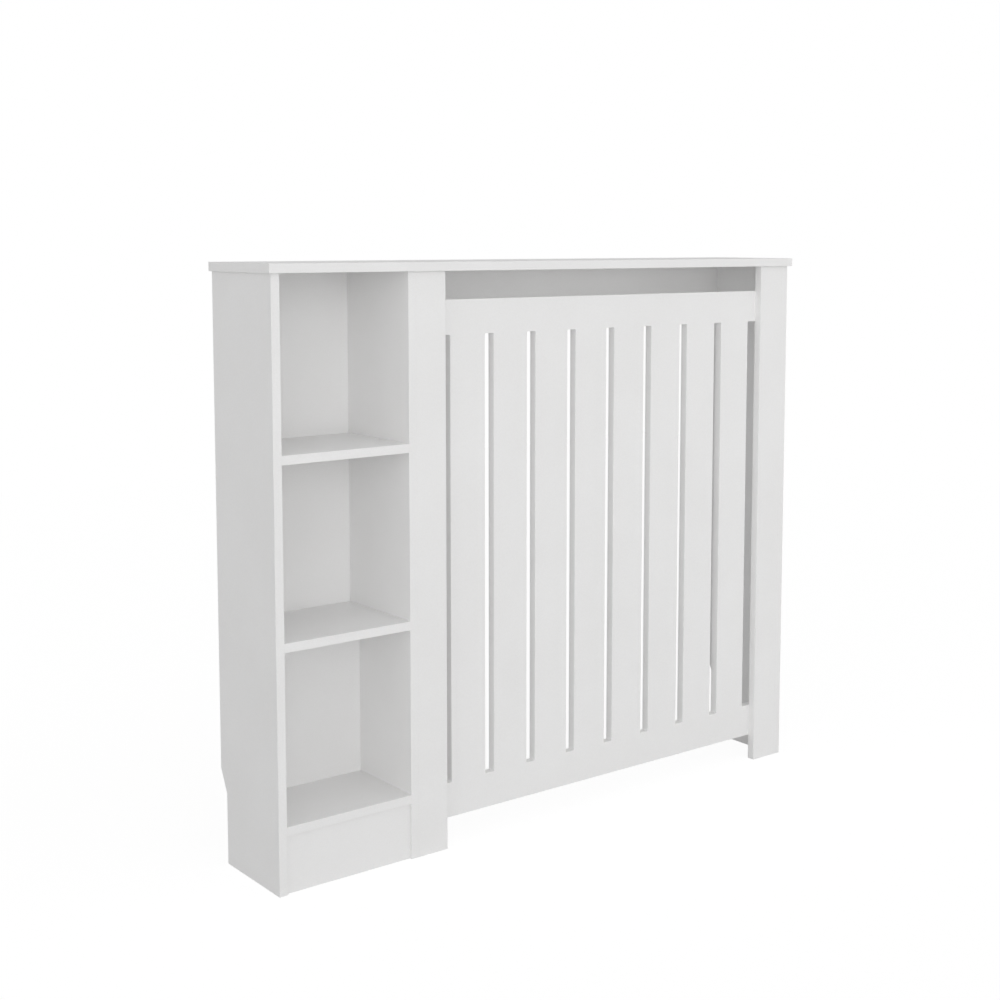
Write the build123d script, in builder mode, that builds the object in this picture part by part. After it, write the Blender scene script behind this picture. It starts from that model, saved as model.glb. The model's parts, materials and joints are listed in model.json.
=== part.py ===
from build123d import *
import os

# Radiator cover cabinet: an open shelf tower on the left and a slatted radiator bay on the right,
# under one top board. Sizes are in millimetres. X runs to the right, Y to the back, Z up, and the
# origin is the centre of the footprint on the floor.

# ---- driving dimensions ----

overall_width = 1160.0
overall_depth = 200.0
overall_height = 1000.0
board = 15.0  # thickness of every structural board
edge_ease = 0.4  # rounding of the edges that meet no other board

top_side_overhang = 6.0
top_front_overhang = 7.0

shelf_clear_width = 236.0  # between the left side panel and the divider
plinth_height = 96.0
plinth_setback = 5.0

post_width = 59.0

slat_count = 8
slot_width = 19.0
post_gap = 19.6  # open width between a post and the slat beside it
vent_height = 48.0  # open height between the top board and the slatted front
floor_gap = 48.0  # open height under the slatted front
top_rail_height = 59.0
bottom_rail_height = 61.0
end_strip_width = 40.0  # part of the slatted front that lies behind a post
front_side_fit = 0.5  # gap at each end of the slatted front
slot_corner_radius = 2.0

rear_rail_height = 80.0

notch_depth = 20.0  # cut-out for the skirting board
notch_straight_height = 120.0
notch_full_height = 160.0

back_thickness = 3.0
back_inset = 3.0  # from the rear edges to the thin back
groove_depth = 4.0
groove_fit = 0.2  # gap on each side of the thin back in its groove

# cam fittings
cam_diameter = 15.0
cam_floor = 2.5  # wood left under a cam
cam_distance = 24.0  # from the joint to the centre of the cam
cam_fit = 0.1
cam_cross_length = 9.0
cam_cross_width = 1.6
cam_cross_depth = 2.0
bolt_bore = 8.0
bolt_fit = 0.1
bolt_thread_diameter = 5.0
bolt_thread_floor = 5.0  # wood left beyond a bolt's thread
bolt_collar_diameter = 7.4
bolt_collar_height = 1.5
bolt_shank_diameter = 6.0
bolt_neck_diameter = 3.6
bolt_neck_length = 4.0
bolt_head_diameter = 6.4
bolt_head_length = 4.0
bolt_end_clearance = 0.5  # from the bolt's end to the wall of the cam
fixing_margin = 50.0  # from a board's front or rear edge to its nearest bolt
end_margin = 30.0  # the same on the narrow boards
rail_bolt_margin = 150.0  # from the ends of the rear rail to the bolts in its upper edge
front_bolt_count = 3  # bolts at each end of the slatted front

# dowels
dowel_diameter = 8.0
dowel_floor = 5.0  # wood left beyond the short end of a dowel
dowel_long_end = 20.0
dowel_fit = 0.1
dowel_chamfer = 0.8
dowel_offset = 32.0  # from a bolt to the dowel beside it
post_dowel_count = 3
post_dowel_margin = 100.0  # from the ends of a post to its outer dowels

# screws and brackets
screw_diameter = 4.0
screw_head_diameter = 8.0
screw_floor = 5.0  # wood left beyond a screw's tip
screw_fit = 0.1
screw_cross_length = 4.6
screw_cross_width = 1.0
screw_cross_depth = 1.4
screws_between_bolts = 2  # along each end of the slatted front
bracket_leg = 30.0
bracket_width = 20.0
bracket_thickness = 2.0
bracket_bend_radius = 1.0
bracket_corner_radius = 3.0
bracket_gap = 5.0  # from the rear rail down to a bracket
bracket_screw_edge = 7.0  # from the free end of a leg to its outer hole
bracket_screw_spacing = 10.0
wall_hole_diameter = 5.5
wall_hole_from_corner = 19.0

# ---- places that follow from them ----

top_underside = overall_height - board
body_left = -overall_width / 2 + top_side_overhang
body_right = overall_width / 2 - top_side_overhang
front = -overall_depth / 2 + top_front_overhang
rear = overall_depth / 2

tower_left = body_left + board  # inner face of the left side panel
divider_left = tower_left + shelf_clear_width
tower_middle = (tower_left + divider_left) / 2
bay_left = divider_left + board
bay_right = body_right - board
bay_width = bay_right - bay_left
bay_middle = (bay_left + bay_right) / 2

back_front_face = rear - back_inset - back_thickness
notch_face = rear - notch_depth
lower_back_face = notch_face - board

bottom_shelf_top = plinth_height + board
compartment_height = (top_underside - bottom_shelf_top - 2 * board) / 3
lower_shelf_top = bottom_shelf_top + compartment_height + board
upper_shelf_top = lower_shelf_top + compartment_height + board

slat_front_face = front + board
slat_rear_face = slat_front_face + board
slat_middle = slat_front_face + board / 2
slat_bottom = floor_gap
slat_top = top_underside - vent_height
slot_bottom = slat_bottom + bottom_rail_height
slot_top = slat_top - top_rail_height
slot_height = slot_top - slot_bottom
slats_span = bay_width - 2 * (post_width + post_gap)
slat_width = (slats_span - (slat_count - 1) * slot_width) / slat_count
slat_pitch = slat_width + slot_width
front_width = bay_width - 2 * front_side_fit
outer_slot_width = post_width + post_gap - front_side_fit - end_strip_width
outer_slot_offset = (slats_span + outer_slot_width) / 2

rail_bottom = top_underside - rear_rail_height
rail_middle = rear - board / 2
bracket_middle = rail_bottom - bracket_gap - bracket_width / 2

cam_depth = board - cam_floor
bolt_thread_depth = board - bolt_thread_floor
bolt_reach = cam_distance + bolt_head_length / 2
dowel_short_end = board - dowel_floor
front_screw_length = 2 * board - screw_floor
bracket_screw_length = board - screw_floor + bracket_thickness

LEFT, RIGHT = (-1, 0, 0), (1, 0, 0)
FRONT, BACK = (0, -1, 0), (0, 1, 0)
UP, DOWN = (0, 0, 1), (0, 0, -1)


def place(x, y, z, along, face=UP):
    """A place for a fitting, with Z running along it and X pointing at the face it opens on."""
    return Plane(origin=(x, y, z), x_dir=face, z_dir=along).location


def spread(first, last, count):
    """Evenly spaced values from the first to the last."""
    return [first + (last - first) * i / (count - 1) for i in range(count)]


# ---- where the boards are joined ----

side_middle = body_left + board / 2
divider_middle = divider_left + board / 2
right_middle = body_right - board / 2
side_bolt_rows = (front + fixing_margin, rear - fixing_margin)
side_dowel_rows = (side_bolt_rows[0] + dowel_offset, side_bolt_rows[1] - dowel_offset)

top_to_side = [place(side_middle, y, top_underside, DOWN, RIGHT) for y in side_bolt_rows]
top_to_divider = [place(divider_middle, y, top_underside, DOWN, RIGHT) for y in side_bolt_rows]

post_middle = front + board / 2
top_to_left_post = [place(bay_left + post_width / 2, post_middle, top_underside, DOWN, BACK)]
top_to_right_post = [place(bay_right - post_width / 2, post_middle, top_underside, DOWN, BACK)]

rail_bolt_places = (bay_left + rail_bolt_margin, bay_right - rail_bolt_margin)
top_to_rail = [place(x, rail_middle, top_underside, DOWN, BACK) for x in rail_bolt_places]
rail_bolt_height = rail_bottom + end_margin
rail_to_divider = [place(bay_left, rail_middle, rail_bolt_height, RIGHT, BACK)]
rail_to_right = [place(bay_right, rail_middle, rail_bolt_height, LEFT, BACK)]

lowest_front_bolt = slat_bottom + fixing_margin
highest_front_bolt = slat_top - fixing_margin
front_bolt_heights = spread(lowest_front_bolt, highest_front_bolt, front_bolt_count)
front_to_divider = [place(bay_left, slat_middle, z, RIGHT, BACK) for z in front_bolt_heights]
front_to_right = [place(bay_right, slat_middle, z, LEFT, BACK) for z in front_bolt_heights]


def shelf_joints(x, along, top, depth_to):
    """The two bolts at one end of a shelf, whose cams open downwards."""
    rows = (front + fixing_margin, depth_to - fixing_margin)
    return [place(x, y, top - board / 2, along, DOWN) for y in rows]


upper_shelf_left = shelf_joints(tower_left, RIGHT, upper_shelf_top, back_front_face)
upper_shelf_right = shelf_joints(divider_left, LEFT, upper_shelf_top, back_front_face)
lower_shelf_left = shelf_joints(tower_left, RIGHT, lower_shelf_top, rear)
lower_shelf_right = shelf_joints(divider_left, LEFT, lower_shelf_top, rear)
bottom_shelf_left = shelf_joints(tower_left, RIGHT, bottom_shelf_top, notch_face)
bottom_shelf_right = shelf_joints(divider_left, LEFT, bottom_shelf_top, notch_face)

plinth_middle = front + plinth_setback + board / 2
plinth_bolt_height = plinth_height - end_margin
plinth_left = [place(tower_left, plinth_middle, plinth_bolt_height, RIGHT, BACK)]
plinth_right = [place(divider_left, plinth_middle, plinth_bolt_height, LEFT, BACK)]

lower_back_middle = lower_back_face + board / 2
lower_shelf_bottom = lower_shelf_top - board
lower_back_rows = (bottom_shelf_top + fixing_margin, lower_shelf_bottom - fixing_margin)
lower_back_left = [place(tower_left, lower_back_middle, z, RIGHT, BACK) for z in lower_back_rows]
lower_back_right = [place(divider_left, lower_back_middle, z, LEFT, BACK) for z in lower_back_rows]

left_side_cams = upper_shelf_left + lower_shelf_left + bottom_shelf_left + plinth_left + lower_back_left
divider_cams = upper_shelf_right + lower_shelf_right + bottom_shelf_right + plinth_right
divider_cams += lower_back_right + rail_to_divider + front_to_divider
right_side_cams = rail_to_right + front_to_right
top_cams = top_to_side + top_to_divider + top_to_left_post + top_to_right_post + top_to_rail
all_cams = top_cams + left_side_cams + divider_cams + right_side_cams

top_side_dowels = [place(side_middle, y, top_underside, DOWN, RIGHT) for y in side_dowel_rows]
top_divider_dowels = [place(divider_middle, y, top_underside, DOWN, RIGHT) for y in side_dowel_rows]
top_right_dowels = [place(right_middle, y, top_underside, DOWN, RIGHT) for y in side_bolt_rows]
highest_post_dowel = top_underside - post_dowel_margin
post_dowel_heights = spread(post_dowel_margin, highest_post_dowel, post_dowel_count)
left_post_dowels = [place(bay_left, post_middle, z, RIGHT) for z in post_dowel_heights]
right_post_dowels = [place(bay_right, post_middle, z, LEFT) for z in post_dowel_heights]
rail_dowel_height = top_underside - end_margin
rail_left_dowels = [place(bay_left, rail_middle, rail_dowel_height, RIGHT)]
rail_right_dowels = [place(bay_right, rail_middle, rail_dowel_height, LEFT)]
plinth_left_dowels = [place(tower_left, plinth_middle, end_margin, RIGHT)]
plinth_right_dowels = [place(divider_left, plinth_middle, end_margin, LEFT)]

top_dowels = top_side_dowels + top_divider_dowels + top_right_dowels
divider_side_dowels = left_post_dowels + rail_left_dowels + plinth_right_dowels
right_side_dowels = right_post_dowels + rail_right_dowels
all_dowels = top_dowels + divider_side_dowels + right_side_dowels + plinth_left_dowels

strip_middle = front_side_fit + end_strip_width / 2
front_screw_heights = []
for low, high in zip(front_bolt_heights, front_bolt_heights[1:]):
    front_screw_heights += spread(low, high, screws_between_bolts + 2)[1:-1]
left_strip_screws = [
    place(bay_left + strip_middle, slat_rear_face, z, BACK) for z in front_screw_heights
]
right_strip_screws = [
    place(bay_right - strip_middle, slat_rear_face, z, BACK) for z in front_screw_heights
]

bracket_screw_rows = (
    rear - bracket_leg + bracket_screw_edge,
    rear - bracket_leg + bracket_screw_edge + bracket_screw_spacing,
)
left_bracket_screws = [
    place(bay_left + bracket_thickness, y, bracket_middle, RIGHT) for y in bracket_screw_rows
]
right_bracket_screws = [
    place(bay_right - bracket_thickness, y, bracket_middle, LEFT) for y in bracket_screw_rows
]


# ---- cutters for the fittings ----

FROM_PLACE = (Align.CENTER, Align.CENTER, Align.MIN)
TO_PLACE = (Align.CENTER, Align.CENTER, Align.MAX)
LOW_CORNER = (Align.MIN, Align.MIN, Align.MIN)
cam_face = Plane(origin=(board / 2, 0, cam_distance), z_dir=LEFT)

with BuildPart() as cam_seat:
    Cylinder(bolt_thread_diameter / 2, bolt_thread_depth, align=TO_PLACE)
    Cylinder(bolt_bore / 2, cam_distance, align=FROM_PLACE)
    with BuildSketch(cam_face):
        Circle(cam_diameter / 2)
    extrude(amount=cam_depth)

with BuildPart() as dowel_seat:
    Cylinder(dowel_diameter / 2, dowel_short_end, align=TO_PLACE)
    Cylinder(dowel_diameter / 2, dowel_long_end, align=FROM_PLACE)


def screw_body(length, gap):
    """A countersunk screw that points down from Z = 0, or with a gap the seat for one."""
    head = screw_head_diameter / 2 + gap
    shank = screw_diameter / 2 + gap
    with BuildPart() as body:
        with BuildSketch(Plane.XZ):
            with BuildLine():
                Polyline(
                    (0, 0),
                    (head, 0),
                    (shank, shank - head),
                    (shank, shank - length),
                    (0, -length),
                    close=True,
                )
            make_face()
        revolve(axis=Axis.Z)
    return body


front_screw_seat = screw_body(front_screw_length + screw_fit, screw_fit)
bracket_screw_seat = screw_body(bracket_screw_length + screw_fit, screw_fit)


def cut(seat, places):
    """Cut the seats of a group of fittings into the piece being built."""
    with Locations(*places):
        add(seat.part, mode=Mode.SUBTRACT)


def front_edges(piece, axis):
    """The two front edges of a board that run along one axis."""
    return piece.edges().filter_by(axis).group_by(Axis.Y)[0]


# ---- uprights ----

# The side panels and the divider have one outline, drawn here with the board's left face at X = 0.
# The edges of the uprights and posts that other boards meet flush stay square, so no joint shows.
with BuildPart() as upright:
    with BuildSketch(Plane.YZ):
        with BuildLine():
            Polyline(
                (front, 0),
                (notch_face, 0),
                (notch_face, notch_straight_height),
                (rear, notch_full_height),
                (rear, top_underside),
                (front, top_underside),
                close=True,
            )
        make_face()
    extrude(amount=board)

# The groove that takes the thin back runs down both walls of the tower to the lower shelf.
with BuildPart() as back_groove:
    with Locations((tower_left - groove_depth, back_front_face - groove_fit, lower_shelf_top)):
        Box(
            shelf_clear_width + 2 * groove_depth,
            back_thickness + 2 * groove_fit,
            top_underside - lower_shelf_top,
            align=LOW_CORNER,
        )

with BuildPart() as left_side_panel:
    with Locations((body_left, 0, 0)):
        add(upright.part)
    fillet(front_edges(left_side_panel, Axis.Z).sort_by(Axis.X)[0], edge_ease)
    add(back_groove.part, mode=Mode.SUBTRACT)
    cut(cam_seat, top_to_side + left_side_cams)
    cut(dowel_seat, top_side_dowels + plinth_left_dowels)

with BuildPart() as divider_panel:
    with Locations((divider_left, 0, 0)):
        add(upright.part)
    add(back_groove.part, mode=Mode.SUBTRACT)
    cut(cam_seat, top_to_divider + divider_cams)
    cut(dowel_seat, top_divider_dowels + divider_side_dowels)
    cut(bracket_screw_seat, left_bracket_screws)

with BuildPart() as right_side_panel:
    with Locations((bay_right, 0, 0)):
        add(upright.part)
    fillet(front_edges(right_side_panel, Axis.Z).sort_by(Axis.X)[-1], edge_ease)
    cut(cam_seat, right_side_cams)
    cut(dowel_seat, top_right_dowels + right_side_dowels)
    cut(bracket_screw_seat, right_bracket_screws)

# ---- top, posts and rear rail ----

with BuildPart() as top_board:
    with BuildSketch(Plane.XY.offset(top_underside)):
        Rectangle(overall_width, overall_depth)
    extrude(amount=board)
    fillet(top_board.edges(), edge_ease)
    cut(cam_seat, top_cams)
    cut(dowel_seat, top_dowels)

with BuildPart() as left_post:
    with Locations((bay_left, front, 0)):
        Box(post_width, board, top_underside, align=LOW_CORNER)
    fillet(front_edges(left_post, Axis.Z).sort_by(Axis.X)[-1], edge_ease)
    cut(cam_seat, top_to_left_post)
    cut(dowel_seat, left_post_dowels)
    cut(front_screw_seat, left_strip_screws)

with BuildPart() as right_post:
    with Locations((bay_right - post_width, front, 0)):
        Box(post_width, board, top_underside, align=LOW_CORNER)
    fillet(front_edges(right_post, Axis.Z).sort_by(Axis.X)[0], edge_ease)
    cut(cam_seat, top_to_right_post)
    cut(dowel_seat, right_post_dowels)
    cut(front_screw_seat, right_strip_screws)

with BuildPart() as rear_top_rail:
    with Locations((bay_left, rear - board, rail_bottom)):
        Box(bay_width, board, rear_rail_height, align=LOW_CORNER)
    fillet(front_edges(rear_top_rail, Axis.X), edge_ease)
    cut(cam_seat, top_to_rail + rail_to_divider + rail_to_right)
    cut(dowel_seat, rail_left_dowels + rail_right_dowels)

# ---- slatted front ----

# Slots of one width part the slats. A wider slot at each end runs on behind the post.
with BuildPart() as slatted_front:
    with BuildSketch(Plane(origin=(bay_middle, slat_rear_face, 0), x_dir=RIGHT, z_dir=FRONT)):
        with Locations((0, (slat_bottom + slat_top) / 2)):
            Rectangle(front_width, slat_top - slat_bottom)
        with Locations((0, (slot_bottom + slot_top) / 2)):
            with GridLocations(slat_pitch, 0, slat_count - 1, 1):
                RectangleRounded(slot_width, slot_height, slot_corner_radius, mode=Mode.SUBTRACT)
            with GridLocations(2 * outer_slot_offset, 0, 2, 1):
                RectangleRounded(
                    outer_slot_width, slot_height, slot_corner_radius, mode=Mode.SUBTRACT
                )
    extrude(amount=board)
    fillet(slatted_front.faces().sort_by(Axis.Y)[0].edges(), edge_ease)
    cut(cam_seat, front_to_divider + front_to_right)
    cut(front_screw_seat, left_strip_screws + right_strip_screws)

# ---- shelf tower ----

with BuildPart() as upper_shelf:
    with Locations((tower_left, front, upper_shelf_top - board)):
        Box(shelf_clear_width, back_front_face - front, board, align=LOW_CORNER)
    fillet(front_edges(upper_shelf, Axis.X), edge_ease)
    cut(cam_seat, upper_shelf_left + upper_shelf_right)

with BuildPart() as lower_shelf:
    with Locations((tower_left, front, lower_shelf_bottom)):
        Box(shelf_clear_width, rear - front, board, align=LOW_CORNER)
    fillet(front_edges(lower_shelf, Axis.X), edge_ease)
    cut(cam_seat, lower_shelf_left + lower_shelf_right)

with BuildPart() as bottom_shelf:
    with Locations((tower_left, front, plinth_height)):
        Box(shelf_clear_width, notch_face - front, board, align=LOW_CORNER)
    fillet(front_edges(bottom_shelf, Axis.X), edge_ease)
    cut(cam_seat, bottom_shelf_left + bottom_shelf_right)

with BuildPart() as plinth:
    with Locations((tower_left, front + plinth_setback, 0)):
        Box(shelf_clear_width, board, plinth_height, align=LOW_CORNER)
    cut(cam_seat, plinth_left + plinth_right)
    cut(dowel_seat, plinth_left_dowels + plinth_right_dowels)

with BuildPart() as lower_back_board:
    with Locations((tower_left, lower_back_face, bottom_shelf_top)):
        Box(shelf_clear_width, board, compartment_height, align=LOW_CORNER)
    cut(cam_seat, lower_back_left + lower_back_right)

with BuildPart() as upper_back_panel:
    with BuildSketch(Plane.XY.offset(lower_shelf_top)):
        with Locations((tower_middle, back_front_face + back_thickness / 2)):
            Rectangle(shelf_clear_width + 2 * (groove_depth - groove_fit), back_thickness)
    extrude(amount=top_underside - lower_shelf_top - groove_fit)

# ---- fittings ----

# A cam turns in its pocket and draws in the head of the bolt through the passage in its side.
with BuildPart() as cam:
    with BuildSketch(cam_face):
        Circle(cam_diameter / 2 - cam_fit)
    extrude(amount=cam_depth - cam_fit)
    Cylinder(
        bolt_bore / 2,
        bolt_reach + bolt_end_clearance,
        align=FROM_PLACE,
        mode=Mode.SUBTRACT,
    )
    with BuildSketch(cam_face):
        Rectangle(cam_cross_length, cam_cross_width)
        Rectangle(cam_cross_width, cam_cross_length)
    extrude(amount=cam_cross_depth, mode=Mode.SUBTRACT)

with BuildPart() as cam_bolt:
    thread = bolt_thread_diameter / 2 - bolt_fit
    neck_end = bolt_reach - bolt_head_length
    neck_start = neck_end - bolt_neck_length
    with BuildSketch(Plane.XZ):
        with BuildLine():
            Polyline(
                (0, bolt_fit - bolt_thread_depth),
                (thread, bolt_fit - bolt_thread_depth),
                (thread, 0),
                (bolt_collar_diameter / 2, 0),
                (bolt_collar_diameter / 2, bolt_collar_height),
                (bolt_shank_diameter / 2, bolt_collar_height),
                (bolt_shank_diameter / 2, neck_start),
                (bolt_neck_diameter / 2, neck_start),
                (bolt_neck_diameter / 2, neck_end),
                (bolt_head_diameter / 2, neck_end),
                (bolt_head_diameter / 2, bolt_reach),
                (0, bolt_reach),
                close=True,
            )
        make_face()
    revolve(axis=Axis.Z)

with BuildPart() as dowel:
    Cylinder(dowel_diameter / 2 - dowel_fit, dowel_short_end - dowel_fit, align=TO_PLACE)
    Cylinder(dowel_diameter / 2 - dowel_fit, dowel_long_end - dowel_fit, align=FROM_PLACE)
    chamfer(dowel.edges().filter_by(GeomType.CIRCLE), dowel_chamfer)


def cross_recess():
    """Cut a cross for the screwdriver into the head of the screw being built."""
    with Locations((0, 0, 0)):
        Box(screw_cross_length, screw_cross_width, screw_cross_depth, align=TO_PLACE, mode=Mode.SUBTRACT)
        Box(screw_cross_width, screw_cross_length, screw_cross_depth, align=TO_PLACE, mode=Mode.SUBTRACT)


with BuildPart() as front_screw:
    add(screw_body(front_screw_length, 0).part)
    cross_recess()

with BuildPart() as bracket_screw:
    add(screw_body(bracket_screw_length, 0).part)
    cross_recess()

with BuildPart() as cam_housings:
    with Locations(*all_cams):
        add(cam.part)

with BuildPart() as cam_bolts:
    with Locations(*all_cams):
        add(cam_bolt.part)

with BuildPart() as wooden_dowels:
    with Locations(*all_dowels):
        add(dowel.part)

with BuildPart() as front_screws:
    with Locations(*(left_strip_screws + right_strip_screws)):
        add(front_screw.part)

with BuildPart() as bracket_screws:
    with Locations(*(left_bracket_screws + right_bracket_screws)):
        add(bracket_screw.part)

# ---- wall brackets ----

# Drawn for the left end of the bay, with its bend at the origin.
with BuildPart() as bracket:
    with BuildSketch(Plane.XY.offset(-bracket_width / 2)):
        with BuildLine():
            Polyline(
                (0, 0),
                (bracket_leg, 0),
                (bracket_leg, -bracket_thickness),
                (bracket_thickness, -bracket_thickness),
                (bracket_thickness, -bracket_leg),
                (0, -bracket_leg),
                close=True,
            )
        make_face()
    extrude(amount=bracket_width)
    outer_bend, inner_bend = bracket.edges().filter_by(Axis.Z).sort_by_distance((0, 0, 0))[:2]
    fillet(outer_bend, bracket_thickness + bracket_bend_radius)
    fillet(inner_bend, bracket_bend_radius)
    fillet(bracket.edges().filter_by(Axis.Y).group_by(Axis.X)[-1], bracket_corner_radius)
    fillet(bracket.edges().filter_by(Axis.X).group_by(Axis.Y)[0], bracket_corner_radius)
    with Locations(Plane(origin=(wall_hole_from_corner, 0, 0), z_dir=BACK)):
        Hole(wall_hole_diameter / 2)

with BuildPart() as left_wall_bracket:
    with Locations((bay_left, rear, bracket_middle)):
        add(bracket.part)
    cut(bracket_screw_seat, left_bracket_screws)

with BuildPart() as right_wall_bracket:
    with Locations((bay_right, rear, bracket_middle)):
        add(bracket.part.mirror(Plane.YZ))
    cut(bracket_screw_seat, right_bracket_screws)

# ---- the named pieces ----

pieces = {
    "top_board": top_board,
    "left_side_panel": left_side_panel,
    "divider_panel": divider_panel,
    "right_side_panel": right_side_panel,
    "left_post": left_post,
    "right_post": right_post,
    "slatted_front": slatted_front,
    "rear_top_rail": rear_top_rail,
    "upper_shelf": upper_shelf,
    "lower_shelf": lower_shelf,
    "bottom_shelf": bottom_shelf,
    "plinth": plinth,
    "upper_back_panel": upper_back_panel,
    "lower_back_board": lower_back_board,
    "cam_housings": cam_housings,
    "cam_bolts": cam_bolts,
    "wooden_dowels": wooden_dowels,
    "front_screws": front_screws,
    "left_wall_bracket": left_wall_bracket,
    "right_wall_bracket": right_wall_bracket,
    "bracket_screws": bracket_screws,
}

os.makedirs("parts", exist_ok=True)
for name, piece in pieces.items():
    piece.part.label = name
    export_step(piece.part, f"parts/{name}.step")
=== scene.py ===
import json
import math

import bpy
from mathutils import Matrix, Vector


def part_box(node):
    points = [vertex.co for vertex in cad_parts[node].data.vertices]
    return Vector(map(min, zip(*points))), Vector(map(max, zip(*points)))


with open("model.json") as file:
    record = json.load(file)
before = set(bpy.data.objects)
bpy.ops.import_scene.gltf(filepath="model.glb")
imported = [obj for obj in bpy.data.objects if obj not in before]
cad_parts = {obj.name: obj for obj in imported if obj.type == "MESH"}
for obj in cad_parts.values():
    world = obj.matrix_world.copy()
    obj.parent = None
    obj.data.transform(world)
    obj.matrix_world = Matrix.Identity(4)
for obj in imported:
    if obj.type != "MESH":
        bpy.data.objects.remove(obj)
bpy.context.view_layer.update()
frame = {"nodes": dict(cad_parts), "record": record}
scene = bpy.context.scene

# ---- camera ----

IMAGE_SIDE = 1000  # pixels
SENSOR = 36.0  # mm
CAMERA_PLACE = (-1.742189, -2.209718, 1.037945)
YAW, PITCH, ROLL = (math.radians(a) for a in (38.1561, -5.7562, 0.0736))
FOCAL_PIXELS = 1566.63
CENTRE_PIXEL = (526.41, 396.50)


def camera_matrix():
    """The camera at its place, turned from +Y towards +X by the yaw, then tilted and rolled."""
    forward = (
        math.sin(YAW) * math.cos(PITCH),
        math.cos(YAW) * math.cos(PITCH),
        math.sin(PITCH),
    )
    level = (math.cos(YAW), -math.sin(YAW), 0.0)
    above = (
        level[1] * forward[2],
        -level[0] * forward[2],
        level[0] * forward[1] - level[1] * forward[0],
    )
    c, s = math.cos(ROLL), math.sin(ROLL)
    right = [a * c + b * s for a, b in zip(level, above)]
    up = [b * c - a * s for a, b in zip(level, above)]
    back = [-a for a in forward]
    return Matrix([*zip(right, up, back, CAMERA_PLACE), (0.0, 0.0, 0.0, 1.0)])


camera_data = bpy.data.cameras.new("camera")
camera_data.sensor_width = SENSOR
camera_data.lens = FOCAL_PIXELS * SENSOR / IMAGE_SIDE
camera_data.shift_x = (IMAGE_SIDE / 2 - CENTRE_PIXEL[0]) / IMAGE_SIDE
camera_data.shift_y = (CENTRE_PIXEL[1] - IMAGE_SIDE / 2) / IMAGE_SIDE
camera = bpy.data.objects.new("camera", camera_data)
camera.matrix_world = camera_matrix()
scene.collection.objects.link(camera)
scene.camera = camera

# ---- help for the node trees ----

BEVEL_SAMPLES = 4
FLAT, BENT = 1.0, 0.8  # cosine between a face and its rounded edge, where wear starts and is full


class Tree:
    """A node tree that nodes are added to in a few words."""

    def __init__(self, owner):
        owner.use_nodes = True
        self.tree = owner.node_tree
        self.nodes = self.tree.nodes

    def feed(self, socket, value):
        """Links a socket to another one, or gives it a value of its own."""
        if isinstance(value, bpy.types.NodeSocket):
            self.tree.links.new(value, socket)
        else:
            socket.default_value = value

    def add(self, kind, inputs=None, **settings):
        """A new node with its settings. Inputs are values, or sockets to link from."""
        node = self.nodes.new(kind)
        for name, value in settings.items():
            setattr(node, name, value)
        for name, value in (inputs or {}).items():
            self.feed(node.inputs[name], value)
        return node

    def math(self, operation, *values):
        node = self.add("ShaderNodeMath", dict(enumerate(values)), operation=operation)
        return node.outputs["Value"]

    def dot(self, a, b):
        node = self.add("ShaderNodeVectorMath", {0: a, 1: b}, operation="DOT_PRODUCT")
        return node.outputs["Value"]

    def map(self, value, low, high, new_low, new_high):
        """The value, carried from one range to another and kept inside it."""
        inputs = {
            "Value": value,
            "From Min": low,
            "From Max": high,
            "To Min": new_low,
            "To Max": new_high,
        }
        return self.add("ShaderNodeMapRange", inputs).outputs["Result"]

    def mix(self, factor, first, second):
        """One colour blended into another."""
        node = self.add("ShaderNodeMix", {"Factor": factor}, data_type="RGBA")
        colours = [s for s in node.inputs if s.type == "RGBA"]
        for socket, value in zip(colours, (first, second)):
            self.feed(socket, value)
        return [s for s in node.outputs if s.type == "RGBA"][0]

    def mix_shaders(self, factor, first, second):
        """One shader blended into another."""
        return self.add("ShaderNodeMixShader", {0: factor, 1: first, 2: second}).outputs[0]

    def noise(self, scale, detail, stretch=(1.0, 1.0, 1.0)):
        """Noise that is fixed to the object, with its scale in waves per metre."""
        place = self.add("ShaderNodeTexCoord").outputs["Object"]
        spread = self.add("ShaderNodeMapping", {"Vector": place, "Scale": stretch})
        inputs = {"Vector": spread.outputs["Vector"], "Scale": scale, "Detail": detail}
        return self.add("ShaderNodeTexNoise", inputs).outputs[0]

    def pattern(self, scale, detail, noise_range, new_range, stretch=(1.0, 1.0, 1.0)):
        """Noise, with a range of its values carried to a new range and kept inside it."""
        return self.map(self.noise(scale, detail, stretch), *noise_range, *new_range)

    def bump(self, height, distance, normal=None):
        """A normal that follows a height, with its full depth in metres."""
        inputs = {"Height": height, "Distance": distance, "Strength": 1.0}
        if normal:
            inputs["Normal"] = normal
        return self.add("ShaderNodeBump", inputs).outputs["Normal"]


def grey(value, warmth=0.0):
    """A grey, with a little less green and still less blue where it is warm."""
    return (value, value - warmth / 2, value - warmth, 1.0)


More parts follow.
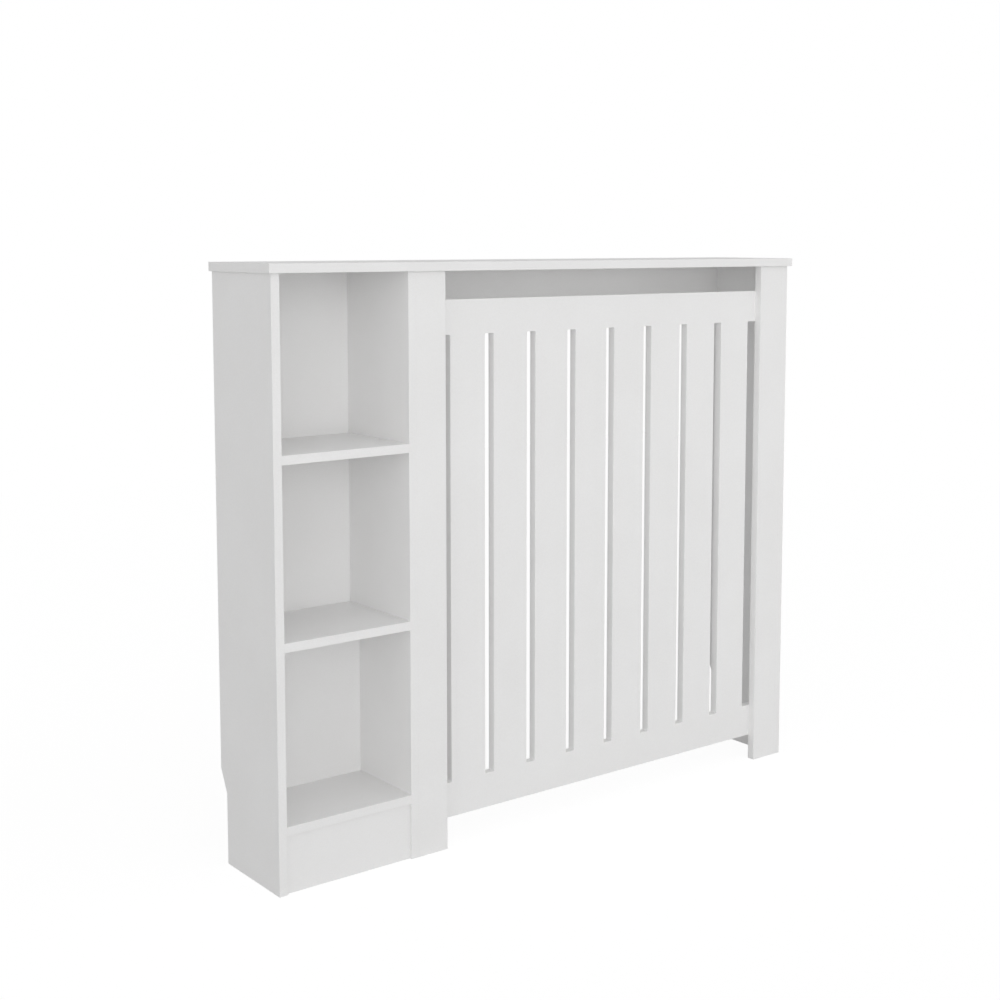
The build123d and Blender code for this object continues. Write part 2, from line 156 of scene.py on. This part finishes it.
class Surface(Tree):
    """A material, with its main shader."""

    def __init__(self, name):
        self.material = bpy.data.materials.new(name)
        super().__init__(self.material)
        self.shader = self.nodes["Principled BSDF"]

    def set(self, **values):
        """Values or sockets for the shader's inputs, with _ for a space in a name."""
        for name, value in values.items():
            self.feed(self.shader.inputs[name.replace("_", " ")], value)

    def own_normal(self):
        """The face's direction in the object's own axes."""
        return self.add("ShaderNodeTexCoord").outputs["Normal"]

    def soft_edges(self, radius):
        """The normal with every edge rounded a little."""
        bevel = self.add("ShaderNodeBevel", {"Radius": radius}, samples=BEVEL_SAMPLES)
        return bevel.outputs["Normal"]

    def edge_wear(self, radius, patches):
        """0 on the flat, up to 1 within the radius of an edge, in patches of a pattern."""
        flat = self.add("ShaderNodeNewGeometry").outputs["Normal"]
        bent = self.dot(self.soft_edges(radius), flat)
        near = self.map(bent, FLAT, BENT, 0.0, 1.0)
        return self.math("MULTIPLY", near, self.pattern(*patches))


# ---- materials ----

# Each pattern has its waves per metre, its detail, the range of the noise that it uses and the
# range that this is carried to. Reliefs are in metres.

WHITE = grey(0.895, 0.004)
WHITE_SHADE = grey(0.860, 0.008)
WHITE_CLOUDS = (7.0, 3.0, (0.35, 0.65), (0.0, 0.5))
WHITE_SPECKS = (480.0, 6.0, (0.40, 0.62), (0.0, 0.5))

RUBBED = grey(0.78, 0.02)
WEAR_REACH = 0.0012  # metres
WEAR_PATCHES = (55.0, 4.0, (0.42, 0.60), (0.0, 1.0))
WEAR_SHARE = 0.6

LACQUER_ROUGHNESS = (38.0, 4.0, (0.3, 0.7), (0.54, 0.66))
LACQUER_SPECULAR = 0.2
CUT_EDGE_ROUGHNESS = 0.1  # added on cut edges
CUT_EDGE_LIMIT = 0.7  # cosine to the thin direction, under which a face is a cut edge

ORANGE_PEEL = (420.0, 2.0, (0.0, 1.0), (0.0, 0.00009))
FINE_GRAIN = (2600.0, 2.0, (0.0, 1.0), (0.0, 0.00002))
RAISED_FIBRES = (1100.0, 5.0, (0.3, 0.7), (0.0, 0.00004))
LACQUER_EDGE_RADIUS = 0.0003  # metres

BROWN = (0.35, 0.225, 0.130, 1.0)
PALE_BROWN = (0.43, 0.290, 0.178, 1.0)
BROWN_CLOUDS = (18.0, 3.0, (0.3, 0.7), (0.0, 0.5))
BROWN_FIBRES = (900.0, 8.0, (0.3, 0.7), (0.0, 0.5), (1.0, 1.0, 0.6))
FRONT_ROUGHNESS, BACK_ROUGHNESS = 0.6, 0.8
BACK_LIMIT = 0.5  # cosine to the rear, over which a face is the bare back

METAL_EDGE_RADIUS = 0.0002  # metres

BEECH_BROWN = (0.60, 0.40, 0.23, 1.0)
BEECH_PALE = (0.72, 0.52, 0.33, 1.0)
BEECH_GRAIN = (700.0, 4.0, (0.35, 0.65), (0.0, 1.0), (0.15, 1.0, 1.0))
BEECH_RELIEF = 0.00005  # metres

X_AXIS, Y_AXIS, Z_AXIS = (1.0, 0.0, 0.0), (0.0, 1.0, 0.0), (0.0, 0.0, 1.0)


def lacquer_colour(surface):
    """White with a faint mottle of clouds and specks."""
    clouds = surface.pattern(*WHITE_CLOUDS)
    specks = surface.pattern(*WHITE_SPECKS)
    return surface.mix(surface.math("ADD", clouds, specks), WHITE, WHITE_SHADE)


def cut_edges(surface, thickness_axis):
    """1 on the cut edges of a board, 0 on its two large faces."""
    across = surface.math("ABSOLUTE", surface.dot(surface.own_normal(), thickness_axis))
    return surface.math("LESS_THAN", across, CUT_EDGE_LIMIT)


def lacquer_normal(surface, cut_edge):
    """A faint orange peel and a fine grain, and on cut edges the fibres that stand up in them."""
    relief = surface.math("ADD", surface.pattern(*ORANGE_PEEL), surface.pattern(*FINE_GRAIN))
    fibres = surface.math("MULTIPLY", cut_edge, surface.pattern(*RAISED_FIBRES))
    relief = surface.math("ADD", relief, fibres)
    return surface.bump(relief, 1.0, surface.soft_edges(LACQUER_EDGE_RADIUS))


def white_lacquer(name, thickness_axis):
    """White satin lacquer on a board, rougher on the cut edges and a little rubbed at corners."""
    surface = Surface(name)
    cut_edge = cut_edges(surface, thickness_axis)
    wear = surface.edge_wear(WEAR_REACH, WEAR_PATCHES)
    wear = surface.math("MULTIPLY", wear, WEAR_SHARE)
    duller = surface.math("MULTIPLY", cut_edge, CUT_EDGE_ROUGHNESS)
    surface.set(
        Base_Color=surface.mix(wear, lacquer_colour(surface), RUBBED),
        Roughness=surface.math("ADD", surface.pattern(*LACQUER_ROUGHNESS), duller),
        Specular_IOR_Level=LACQUER_SPECULAR,
        Normal=lacquer_normal(surface, cut_edge),
    )
    return surface


def lacquered_hardboard(name):
    """Thin hardboard that lies across Y: lacquered in front, bare brown fibre behind."""
    surface = Surface(name)
    clouds = surface.pattern(*BROWN_CLOUDS)
    fibres = surface.pattern(*BROWN_FIBRES)
    brown = surface.mix(surface.math("ADD", clouds, fibres), BROWN, PALE_BROWN)
    facing_back = surface.dot(surface.own_normal(), Y_AXIS)
    is_back = surface.math("GREATER_THAN", facing_back, BACK_LIMIT)
    surface.set(
        Base_Color=surface.mix(is_back, lacquer_colour(surface), brown),
        Roughness=surface.map(is_back, 0.0, 1.0, FRONT_ROUGHNESS, BACK_ROUGHNESS),
        Specular_IOR_Level=LACQUER_SPECULAR,
        Normal=lacquer_normal(surface, cut_edges(surface, Y_AXIS)),
    )
    return surface


def metal(name, colours, mottle, roughness, relief, depth):
    """A metal with two colours in a mottle, an uneven roughness and a fine relief."""
    surface = Surface(name)
    normal = surface.soft_edges(METAL_EDGE_RADIUS)
    surface.set(
        Base_Color=surface.mix(surface.noise(*mottle), *colours),
        Metallic=1.0,
        Roughness=surface.pattern(*roughness),
        Normal=surface.bump(surface.noise(*relief), depth, normal),
    )
    return surface


def beech_wood(name):
    """Bare wood with its grain along X."""
    surface = Surface(name)
    grain = surface.pattern(*BEECH_GRAIN)
    surface.set(
        Base_Color=surface.mix(grain, BEECH_BROWN, BEECH_PALE),
        Roughness=0.65,
        Normal=surface.bump(grain, BEECH_RELIEF),
    )
    return surface


lacquers = [
    white_lacquer("white_lacquer_x", X_AXIS),
    white_lacquer("white_lacquer_y", Y_AXIS),
    white_lacquer("white_lacquer_z", Z_AXIS),
]

SURFACES = {
    "white_hardboard": lacquered_hardboard("lacquered_hardboard"),
    "die_cast_zinc": metal(
        "die_cast_zinc",
        colours=(grey(0.50), grey(0.62)),
        mottle=(600.0, 4.0),
        roughness=(900.0, 3.0, (0.3, 0.7), (0.38, 0.60)),
        relief=(2200.0, 2.0),
        depth=0.00002,
    ),
    "zinc_plated_steel": metal(
        "zinc_plated_steel",
        colours=((0.66, 0.66, 0.67, 1.0), (0.74, 0.73, 0.70, 1.0)),
        mottle=(250.0, 3.0),
        roughness=(500.0, 3.0, (0.3, 0.7), (0.24, 0.42)),
        relief=(3000.0, 2.0),
        depth=0.00001,
    ),
    "beech": beech_wood("beech"),
}


def surface_of(part):
    """The surface for a part's material. A white board's also goes by the board's thin side."""
    if part["material_slot"] != "white_board":
        return SURFACES[part["material_slot"]]
    sides = [high - low for low, high in zip(*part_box(part["node"]))]
    return lacquers[sides.index(min(sides))]


for part in frame["record"]["subparts"]:
    mesh = frame["nodes"][part["node"]].data
    mesh.materials.clear()
    mesh.materials.append(surface_of(part).material)

# ---- light ----

# Each soft light is a patch of the sky: its direction, in degrees from the front towards the
# left side and above the horizon, then how narrow it is and how bright.
SOFT_LIGHTS = (
    (20.0, 5.0, 20.0, 3.28),
    (45.0, 5.0, 10.0, 0.63),
    (70.0, 10.0, 10.0, 1.04),
    (90.0, 0.0, 3.0, 0.18),
    (-45.0, 5.0, 10.0, 1.39),
    (-90.0, 0.0, 3.0, 0.20),
    (0.0, 60.0, 6.0, 0.76),
    (0.0, 90.0, 2.0, 0.47),
    (180.0, 0.0, 3.0, 1.00),
)
PURE_WHITE = grey(1.0)


def seen_directly(tree):
    """1 for what the camera sees straight on, in a mirror or through glass."""
    path = tree.add("ShaderNodeLightPath").outputs
    mirrored = tree.math("MAXIMUM", path["Is Glossy Ray"], path["Is Transmission Ray"])
    return tree.math("MAXIMUM", path["Is Camera Ray"], mirrored)


world = bpy.data.worlds.new("studio")
scene.world = world
sky = Tree(world)
direction = sky.add("ShaderNodeTexCoord").outputs["Generated"]
glow = 0.0
for turn, height, narrowness, brightness in SOFT_LIGHTS:
    turn, height = math.radians(turn), math.radians(height)
    towards = (
        -math.sin(turn) * math.cos(height),
        -math.cos(turn) * math.cos(height),
        math.sin(height),
    )
    facing_it = sky.math("MAXIMUM", sky.dot(direction, towards), 0.0)
    patch = sky.math("MULTIPLY", sky.math("POWER", facing_it, narrowness), brightness)
    glow = sky.math("ADD", glow, patch)
lights = sky.nodes["Background"]
sky.feed(lights.inputs["Color"], PURE_WHITE)
sky.feed(lights.inputs["Strength"], glow)
backdrop = sky.add("ShaderNodeBackground", {"Color": PURE_WHITE, "Strength": 1.0})
whole_sky = sky.mix_shaders(seen_directly(sky), lights.outputs[0], backdrop.outputs[0])
sky.feed(sky.nodes["World Output"].inputs["Surface"], whole_sky)

# ---- floor ----

FLOOR_HALF_SPAN = 4.0
FLOOR_CORNERS = ((-1, -1), (1, -1), (1, 1), (-1, 1))
FLOOR_LEVEL = 0.53  # how bright the open floor is by its own light
SHADOW_SHARE = 0.16  # share of that light in the floor that is seen, the rest is plain white

floor_mesh = bpy.data.meshes.new("floor")
floor_mesh.from_pydata(
    [(x * FLOOR_HALF_SPAN, y * FLOOR_HALF_SPAN, 0.0) for x, y in FLOOR_CORNERS],
    [],
    [(0, 1, 2, 3)],
)
floor = bpy.data.objects.new("floor", floor_mesh)
scene.collection.objects.link(floor)

ground = Surface("pale_floor")
ground.set(Base_Color=grey(0.80), Roughness=0.9, Specular_IOR_Level=0.0)
lit = ground.shader.outputs[0]
white_strength = (1.0 - SHADOW_SHARE * FLOOR_LEVEL) / (1.0 - SHADOW_SHARE)
plain_white = ground.add("ShaderNodeEmission", {"Color": PURE_WHITE, "Strength": white_strength})
seen = ground.mix_shaders(1.0 - SHADOW_SHARE, lit, plain_white.outputs[0])
whole_floor = ground.mix_shaders(seen_directly(ground), lit, seen)
ground.feed(ground.nodes["Material Output"].inputs["Surface"], whole_floor)
floor_mesh.materials.append(ground.material)

# ---- finish ----

scene.view_settings.view_transform = "Standard"
